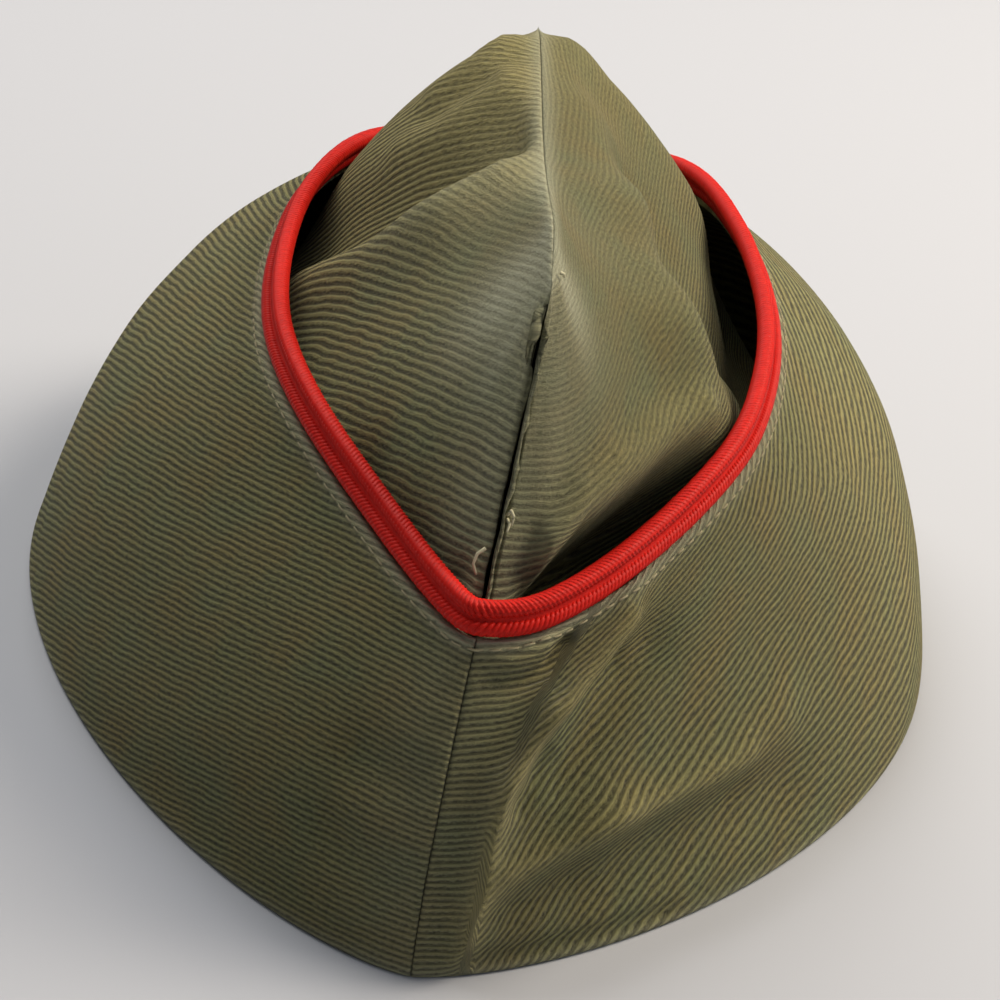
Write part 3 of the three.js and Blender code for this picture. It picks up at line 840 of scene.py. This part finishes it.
def twill_material(settings):
    """Worn olive cotton twill: matt, with raised ribs, painted shade in the grooves and painted light on the
    rib tops, painted light on tops and raised folds, mottled dye and pale wear.
    """
    material, tree = new_material(TWILL["name"])
    cloth = add_node(tree, "ShaderNodeUVMap", uv_map="cloth_mm")
    across = add_node(tree, "ShaderNodeSeparateXYZ", {0: cloth}, "Y")
    stretched = add_node(tree, "ShaderNodeMapping", {"Vector": cloth, "Scale": TWILL["fibre_stretch"]})
    fibre = noise(tree, stretched, *TWILL["fibre_noise"])
    bent = worked(tree, "MULTIPLY_ADD", noise(tree, cloth, *TWILL["sway_noise"]), TWILL["sway"], across)
    swayed = worked(tree, "MULTIPLY_ADD", fibre, TWILL["fibre_sway"], bent)
    phase = worked(tree, "DIVIDE", swayed, settings.rib_pitch / MM)
    wave = worked(tree, "SINE", worked(tree, "MULTIPLY", phase, 2.0 * math.pi))
    rib = ranged(tree, wave, *TWILL["rib_wave"], kind="SMOOTHSTEP")
    level = {0: point_value(tree, "napped"), 2: rib, 3: TWILL["rubbed_level"]}
    rubbed_rib = add_node(tree, "ShaderNodeMix", level, data_type="FLOAT")
    height = worked(tree, "MULTIPLY_ADD", fibre, TWILL["fibre_height"], rubbed_rib)
    patchy = ranged(tree, noise(tree, cloth, *TWILL["blotch_noise"]), *TWILL["blotch"])
    dyed = blended(tree, patchy, TWILL["brown"], TWILL["green"])
    # Painted light: the dye is mixed towards a paler yellow where light falls on tops and raised folds, and
    # on rubbed crests
    bleached = blended(tree, point_value(tree, "painted_light_and_rub"), dyed, TWILL["painted_light_and_rub"])
    # Painted shade and light: the colour is darkened in the rib grooves and lightened on the rib tops
    groove = ranged(tree, height, *TWILL["groove"])
    rib_shaded = blended(tree, 1.0, bleached, groove, "MULTIPLY")
    crest = ranged(tree, height, *TWILL["crest"])
    rubbed = worked(tree, "MULTIPLY", point_value(tree, "wear"), crest, use_clamp=True)
    faded = blended(tree, rubbed, rib_shaded, TWILL["worn"])
    bump = {"Strength": 1.0, "Distance": settings.rib_height, "Height": height}
    relief = add_node(tree, "ShaderNodeBump", bump)
    looks = {"Base Color": faded, "Roughness": 0.95, "Specular IOR Level": 0.15, "Normal": relief}
    add_surface(tree, {**looks, "Sheen Weight": 0.12, "Sheen Roughness": 0.5})
    return material


def braid_material():
    """Red rayon braid: saturated, with a soft shine and small changes of tone from yarn to yarn."""
    material, tree = new_material("red rayon braid")
    place = add_node(tree, "ShaderNodeTexCoord", None, "Object")
    tone = blended(tree, noise(tree, place, *BRAID_TONES["noise"]), BRAID_TONES["dark"], BRAID_TONES["light"])
    add_surface(tree, {"Base Color": tone, "Roughness": 0.5, "Specular IOR Level": 0.14})
    return material


def thread_material(name, code):
    """Cotton sewing thread: matt and paler than the cloth, so that stitches read as a fine dotted line."""
    material, tree = new_material(name)
    add_surface(tree, {"Base Color": linear_colour(code), "Roughness": 0.85, "Specular IOR Level": 0.2})
    return material


def floor_material():
    """Pale matt paper: a plain light ground that takes a soft shadow."""
    material, tree = new_material("pale matt paper")
    looks = {"Base Color": linear_colour(FLOOR_COLOUR), "Roughness": 0.9, "Specular IOR Level": 0.1}
    add_surface(tree, looks)
    return material


# Geometry node trees

def path_instances_tree(name):
    """A tree that sets copies of a small piece along a path, turned to the path and to its rise attribute."""
    tree = bpy.data.node_groups.new(name, "GeometryNodeTree")
    sockets = {}
    kinds = {
        "Path": "Geometry",
        "Piece": "Object",
        "Spacing": "Float",
        "Unevenness": "Float",
        "Seed": "Int",
        "Material": "Material",
    }
    for label, kind in kinds.items():
        made = tree.interface.new_socket(label, in_out="INPUT", socket_type=f"NodeSocket{kind}")
        sockets[label] = made.identifier
    tree.interface.new_socket("Geometry", in_out="OUTPUT", socket_type="NodeSocketGeometry")
    given = add_node(tree, "NodeGroupInput").node.outputs
    curve = add_node(tree, "GeometryNodeMeshToCurve", {"Mesh": given["Path"]})
    spaced = {"Curve": curve, "Length": given["Spacing"]}
    even = add_node(tree, "GeometryNodeResampleCurve", spaced, mode="LENGTH")
    run = add_node(tree, "GeometryNodeInputTangent")
    rise = add_node(tree, "GeometryNodeInputNamedAttribute", {"Name": "rise"}, data_type="FLOAT_VECTOR")
    ways = {"Primary Axis": run, "Secondary Axis": rise}
    turn = add_node(tree, "FunctionNodeAxesToRotation", ways, primary_axis="X", secondary_axis="Z")
    shape = add_node(tree, "GeometryNodeObjectInfo", {"Object": given["Piece"]}, "Geometry")
    least = worked(tree, "SUBTRACT", 1.0, given["Unevenness"])
    most = worked(tree, "ADD", 1.0, given["Unevenness"])
    limits = {"Min": least, "Max": most, "Seed": given["Seed"]}
    size = add_node(tree, "FunctionNodeRandomValue", limits, "Value", data_type="FLOAT")
    copies = {"Points": even, "Instance": shape, "Rotation": turn, "Scale": size}
    placed = add_node(tree, "GeometryNodeInstanceOnPoints", copies)
    real = add_node(tree, "GeometryNodeRealizeInstances", {"Geometry": placed})
    coated = add_node(tree, "GeometryNodeSetMaterial", {"Geometry": real, "Material": given["Material"]})
    add_node(tree, "NodeGroupOutput", {"Geometry": coated})
    return tree, sockets


def set_along(name, points, rise, closed, piece, unevenness, settings, material):
    """Runs the tree on a bare line of edges and leaves the copies along it as one plain mesh object."""
    line = bpy.data.meshes.new(name)
    count = len(points)
    edges = [(k, (k + 1) % count) for k in range(count if closed else count - 1)]
    line.from_pydata((np.asarray(points) * MM).tolist(), edges, [])
    attribute = line.attributes.new("rise", "FLOAT_VECTOR", "POINT")
    attribute.data.foreach_set("vector", np.asarray(rise, np.float32).ravel())
    made = bpy.data.objects.new(name, line)
    bpy.context.scene.collection.objects.link(made)
    tree, sockets = path_instances_tree(name)
    modifier = made.modifiers.new(name, "NODES")
    modifier.node_group = tree
    modifier[sockets["Piece"]] = piece
    modifier[sockets["Spacing"]] = settings.spacing
    modifier[sockets["Unevenness"]] = unevenness
    modifier[sockets["Seed"]] = settings.seed
    modifier[sockets["Material"]] = material
    bpy.context.view_layer.update()
    evaluated = made.evaluated_get(bpy.context.evaluated_depsgraph_get())
    mesh = bpy.data.meshes.new_from_object(evaluated)
    if len(mesh.polygons) == 0:
        raise RuntimeError(f"{name}: the node tree made no faces")
    made.modifiers.remove(modifier)
    made.data = mesh
    bpy.data.meshes.remove(line)
    return made


def remove_object(made):
    mesh = made.data
    bpy.data.objects.remove(made)
    bpy.data.meshes.remove(mesh)


def joined(name, objects):
    """Joins mesh objects into the first one."""
    with bpy.context.temp_override(active_object=objects[0], selected_editable_objects=objects):
        bpy.ops.object.join()
    objects[0].name = name
    objects[0].data.name = name
    return objects[0]


# Settings

def length_setting(label, meaning, metres):
    return bpy.props.FloatProperty(name=label, description=meaning, default=metres, unit="LENGTH")


def angle_setting(label, meaning, degrees):
    return bpy.props.FloatProperty(
        name=label, description=meaning, default=math.radians(degrees), subtype="ANGLE"
    )


def seed_setting(number):
    return bpy.props.IntProperty(name="Seed", description="Seed of the small size changes", default=number)


class ClothSettings(bpy.types.PropertyGroup):
    wall: length_setting("Wall", "Thickness of the cloth", 0.0018)
    rib_pitch: length_setting("Rib Pitch", "Distance from one twill rib to the next", 0.0012)
    rib_height: length_setting("Rib Height", "Height of a twill rib over its groove", 0.00028)


class BraidSettings(bpy.types.PropertyGroup):
    spacing: length_setting("Plait Spacing", "Distance from one plait to the next", 0.0008)
    yarn_radius: length_setting("Yarn Radius", "Radius of one yarn of the plait", 0.00045)
    slant: length_setting("Slant", "How far a yarn runs along the braid on its way round a rib", 0.0038)
    seed: seed_setting(7)


class StitchSettings(bpy.types.PropertyGroup):
    spacing: length_setting("Stitch Spacing", "Distance from one stitch to the next", 0.0026)
    length: length_setting("Stitch Length", "Length of one stitch", 0.0019)
    thread_radius: length_setting("Thread Radius", "Radius of the sewing thread", 0.00018)
    loose_radius: length_setting("Loose Thread Radius", "Radius of the loose thread ends", 0.0003)
    seed: seed_setting(11)


class StageSettings(bpy.types.PropertyGroup):
    azimuth: angle_setting("Azimuth", "Turn of the camera round the cap", 3.0)
    elevation: angle_setting("Elevation", "Height of the camera over the horizon", 27.5)
    roll: angle_setting("Roll", "Roll of the camera", 6.05)
    distance: length_setting("Distance", "Distance from the camera to its target", 0.55)
    lens: bpy.props.FloatProperty(name="Lens", description="Focal length in millimetres", default=121.68)
    target: bpy.props.FloatVectorProperty(
        name="Target",
        description="Place that the camera looks at",
        default=(0.005394, -0.0255, 0.040),
        subtype="XYZ",
    )


# Pieces

def dress(made, node):
    """Ties a piece to the cap's one body and hides the imported part of the node that it stands for."""
    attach(made, "root")
    if node:
        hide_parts(node)


def build_panels(context, kind):
    """Both panels of the crown or of the flap."""
    settings = context.scene.cap_cloth
    material = bpy.data.materials.get(TWILL["name"]) or twill_material(settings)
    for side_name in SIDES:
        panel = f"{kind}_{side_name}"
        made = build_panel(panel, settings.wall / MM)
        made.data.materials.append(material)
        dress(made, panel)


def plait(settings):
    """One yarn round each rib of the braid, lying along X and standing along Z."""
    turn = np.radians(np.linspace(*YARN_TURN))
    share = np.linspace(-0.5, 0.5, len(turn))
    yarns = []
    for upper in (1.0, -1.0):
        out = (BRAID_RIB["out"] - BRAID_RIB["sunk"]) * np.cos(turn)
        rise = upper * (BRAID_RIB["place"] + (BRAID_RIB["rise"] - BRAID_RIB["sunk"]) * np.sin(turn))
        way = np.stack([settings.slant / MM * share, out, rise], axis=1)
        points, faces = tube(way, settings.yarn_radius / MM, YARN_SIDES)
        yarns.append(mesh_object("yarn", points, faces))
    return joined("plait", yarns)


def braid_core(centre, rise, out):
    """The two smooth ribs under the yarns, as one closed loop."""
    upper_turn = np.radians(np.linspace(*RIB_TURN))
    turn = np.concatenate([upper_turn, -upper_turn[::-1]])
    section_out = BRAID_RIB["out"] * np.cos(turn)
    section_rise = BRAID_RIB["rise"] * np.sin(turn)
    section_rise[:SECTION_POINTS] += BRAID_RIB["place"]
    section_rise[SECTION_POINTS:] -= BRAID_RIB["place"]
    core = centre[:, None] + out[:, None] * section_out[None, :, None]
    core = core + rise[:, None] * section_rise[None, :, None]
    number = np.arange(len(centre) * len(turn)).reshape(len(centre), len(turn))
    ahead = np.roll(number, -1, axis=0)
    beside = np.roll(number, -1, axis=1)
    corner = np.roll(ahead, -1, axis=1)
    faces = np.stack([number.ravel(), beside.ravel(), corner.ravel(), ahead.ravel()], axis=1)
    return mesh_object("braid_core", core.reshape(-1, 3), faces)


def row_at(table, up_places, level):
    """Reads a grid of vectors at one height for every place along it."""
    rows = range(len(level))
    return np.array([[np.interp(level[i], up_places, table[i, :, k]) for k in range(3)] for i in rows])


def stitch_row(side_name):
    """The way of the stitches below a flap's upper edge, and the direction off the cloth there."""
    sign = SIDES[side_name]["sign"]
    along_places, up_places, face, normals, away = panel_face(f"flap_{side_name}")
    rows = range(len(along_places))
    level = np.array([np.interp(-STITCH["from_edge"], -away["top"][i], up_places) for i in rows])
    row = row_at(face, up_places, level)
    raised = row + row_at(normals, up_places, level) * STITCH["lift"]
    way = settle(row, sign)
    kept = slice(STITCH["row_ends"], -STITCH["row_ends"])
    return way[kept], unit(settle(raised, sign) - way)[kept]


def loose_thread(panel, places, radius):
    """One end of thread that stands off the cloth of a crown panel."""
    sign = SIDES[panel.split("_")[1]]["sign"]
    along_places, up_places, face, normals = panel_face(panel)[:4]
    turns = np.linspace(0.0, len(places) - 1.0, 4 * len(places))
    along, up, lift = [np.interp(turns, range(len(places)), column) for column in zip(*places)]
    way = np.zeros((len(turns), 3))
    for k in range(3):
        tables = (face[..., k], normals[..., k])
        place, off = [bilinear(table, along_places, up_places, along, up).diagonal() for table in tables]
        way[:, k] = place + off * (lift + radius)
    taper = np.linspace(1.0, THREAD_TAPER, len(turns))
    points, faces = tube(settle(way, sign), radius * taper, THREAD_SIDES)
    return mesh_object("loose_thread", points, faces)


# Operators

class CAP_OT_crown(bpy.types.Operator):
    """Build the two crown panels"""

    bl_idname = "cap.crown"
    bl_label = "Build Crown"

    def execute(self, context):
        build_panels(context, "crown")
        return {"FINISHED"}


class CAP_OT_flap(bpy.types.Operator):
    """Build the two flap panels"""

    bl_idname = "cap.flap"
    bl_label = "Build Flap"

    def execute(self, context):
        build_panels(context, "flap")
        return {"FINISHED"}


class CAP_OT_braid(bpy.types.Operator):
    """Build the plaited braid on the flap's upper edge"""

    bl_idname = "cap.braid"
    bl_label = "Build Braid"

    def execute(self, context):
        settings = context.scene.cap_braid
        material = braid_material()
        centre, rise, out = upper_edge_loop()
        piece = plait(settings)
        plaits = set_along("braid_plaits", centre, rise, True, piece, BRAID_UNEVENNESS, settings, material)
        remove_object(piece)
        core = braid_core(centre, rise, out)
        core.data.materials.append(material)
        dress(joined("braid", [plaits, core]), "braid_edge")
        return {"FINISHED"}


class CAP_OT_stitches(bpy.types.Operator):
    """Build the stitch rows and the loose threads"""

    bl_idname = "cap.stitches"
    bl_label = "Build Stitches"

    def execute(self, context):
        settings = context.scene.cap_stitches
        material = thread_material("olive drab cotton thread", "#938d70")
        pale = thread_material("bleached cotton thread", "#c4bf9f")
        half = settings.length / MM / 2.0
        along = np.array([-half, -half * STITCH["straight"], half * STITCH["straight"], half])
        lift = np.array([STITCH["sunk"], STITCH["lift"], STITCH["lift"], STITCH["sunk"]])
        points, faces = tube(vectors(along, 0.0, lift), settings.thread_radius / MM, THREAD_SIDES)
        stitch = mesh_object("stitch", points, faces)
        uneven = STITCH["unevenness"]
        rows = []
        for side_name in SIDES:
            way, off = stitch_row(side_name)
            name = f"edge_stitches_{side_name}"
            rows.append(set_along(name, way, off, False, stitch, uneven, settings, material))
        remove_object(stitch)
        for panel, places in LOOSE_THREADS:
            rows.append(loose_thread(panel, places, settings.loose_radius / MM))
            rows[-1].data.materials.append(pale)
        dress(joined("edge_stitches", rows), None)
        return {"FINISHED"}


class CAP_OT_stage(bpy.types.Operator):
    """Set the floor, the lights and the camera"""

    bl_idname = "cap.stage"
    bl_label = "Set Stage"

    def execute(self, context):
        scene = context.scene
        settings = scene.cap_stage
        half = FLOOR_HALF_WIDTH
        corners = [(x * half, y * half, FLOOR_LEVEL) for x, y in ((-1, -1), (1, -1), (1, 1), (-1, 1))]
        floor = mesh_object("floor", corners, [(0, 1, 2, 3)])
        floor.data.materials.append(floor_material())
        world = bpy.data.worlds.new("soft room")
        world.use_nodes = True
        background = world.node_tree.nodes["Background"]
        background.inputs["Color"].default_value = linear_colour(ROOM_LIGHT["colour"])
        background.inputs["Strength"].default_value = ROOM_LIGHT["strength"]
        scene.world = world
        for name, place, size, power, code in LAMPS:
            lamp = bpy.data.lights.new(name, "AREA")
            lamp.size = size
            lamp.energy = power
            lamp.color = linear_colour(code)[:3]
            made = bpy.data.objects.new(name, lamp)
            made.location = place
            way = Vector(LAMP_TARGET) - Vector(place)
            made.rotation_euler = way.to_track_quat("-Z", "Y").to_euler()
            scene.collection.objects.link(made)
        level = math.cos(settings.elevation)
        sideways = math.sin(settings.azimuth) * level
        back = Vector((sideways, -math.cos(settings.azimuth) * level, math.sin(settings.elevation)))
        right = (-back).cross(Vector((0.0, 0.0, 1.0))).normalized()
        up = right.cross(-back)
        rolled_right = right * math.cos(settings.roll) + up * math.sin(settings.roll)
        rolled_up = up * math.cos(settings.roll) - right * math.sin(settings.roll)
        camera_data = bpy.data.cameras.new("camera")
        camera_data.sensor_width = SENSOR_WIDTH
        camera_data.lens = settings.lens
        camera_data.clip_start = CLIP_START
        camera = bpy.data.objects.new("camera", camera_data)
        camera.location = Vector(settings.target) + back * settings.distance
        camera.rotation_euler = Matrix((rolled_right, rolled_up, back)).transposed().to_euler()
        scene.collection.objects.link(camera)
        scene.camera = camera
        scene.view_settings.view_transform = "Standard"
        return {"FINISHED"}


class CAP_PT_panel(bpy.types.Panel):
    bl_idname = "CAP_PT_panel"
    bl_label = "Garrison Cap"
    bl_space_type = "VIEW_3D"
    bl_region_type = "UI"
    bl_category = "Cap"

    def draw(self, context):
        layout = self.layout
        scene = context.scene
        for operator, settings in (
            ("cap.crown", scene.cap_cloth),
            ("cap.flap", scene.cap_cloth),
            ("cap.braid", scene.cap_braid),
            ("cap.stitches", scene.cap_stitches),
            ("cap.stage", scene.cap_stage),
        ):
            box = layout.box()
            for name in settings.bl_rna.properties.keys():
                if name not in ("rna_type", "name"):
                    box.prop(settings, name)
            box.operator(operator)


SETTINGS = {
    "cap_cloth": ClothSettings,
    "cap_braid": BraidSettings,
    "cap_stitches": StitchSettings,
    "cap_stage": StageSettings,
}
CLASSES = (
    *SETTINGS.values(),
    CAP_OT_crown,
    CAP_OT_flap,
    CAP_OT_braid,
    CAP_OT_stitches,
    CAP_OT_stage,
    CAP_PT_panel,
)


def register():
    for made in CLASSES:
        bpy.utils.register_class(made)
    for name, group in SETTINGS.items():
        setattr(bpy.types.Scene, name, bpy.props.PointerProperty(type=group))


def unregister():
    for name in SETTINGS:
        delattr(bpy.types.Scene, name)
    for made in reversed(CLASSES):
        bpy.utils.unregister_class(made)


def main():
    register()
    bpy.ops.cap.crown()
    bpy.ops.cap.flap()
    bpy.ops.cap.braid()
    bpy.ops.cap.stitches()
    bpy.ops.cap.stage()


if __name__ == "__main__":
    main()
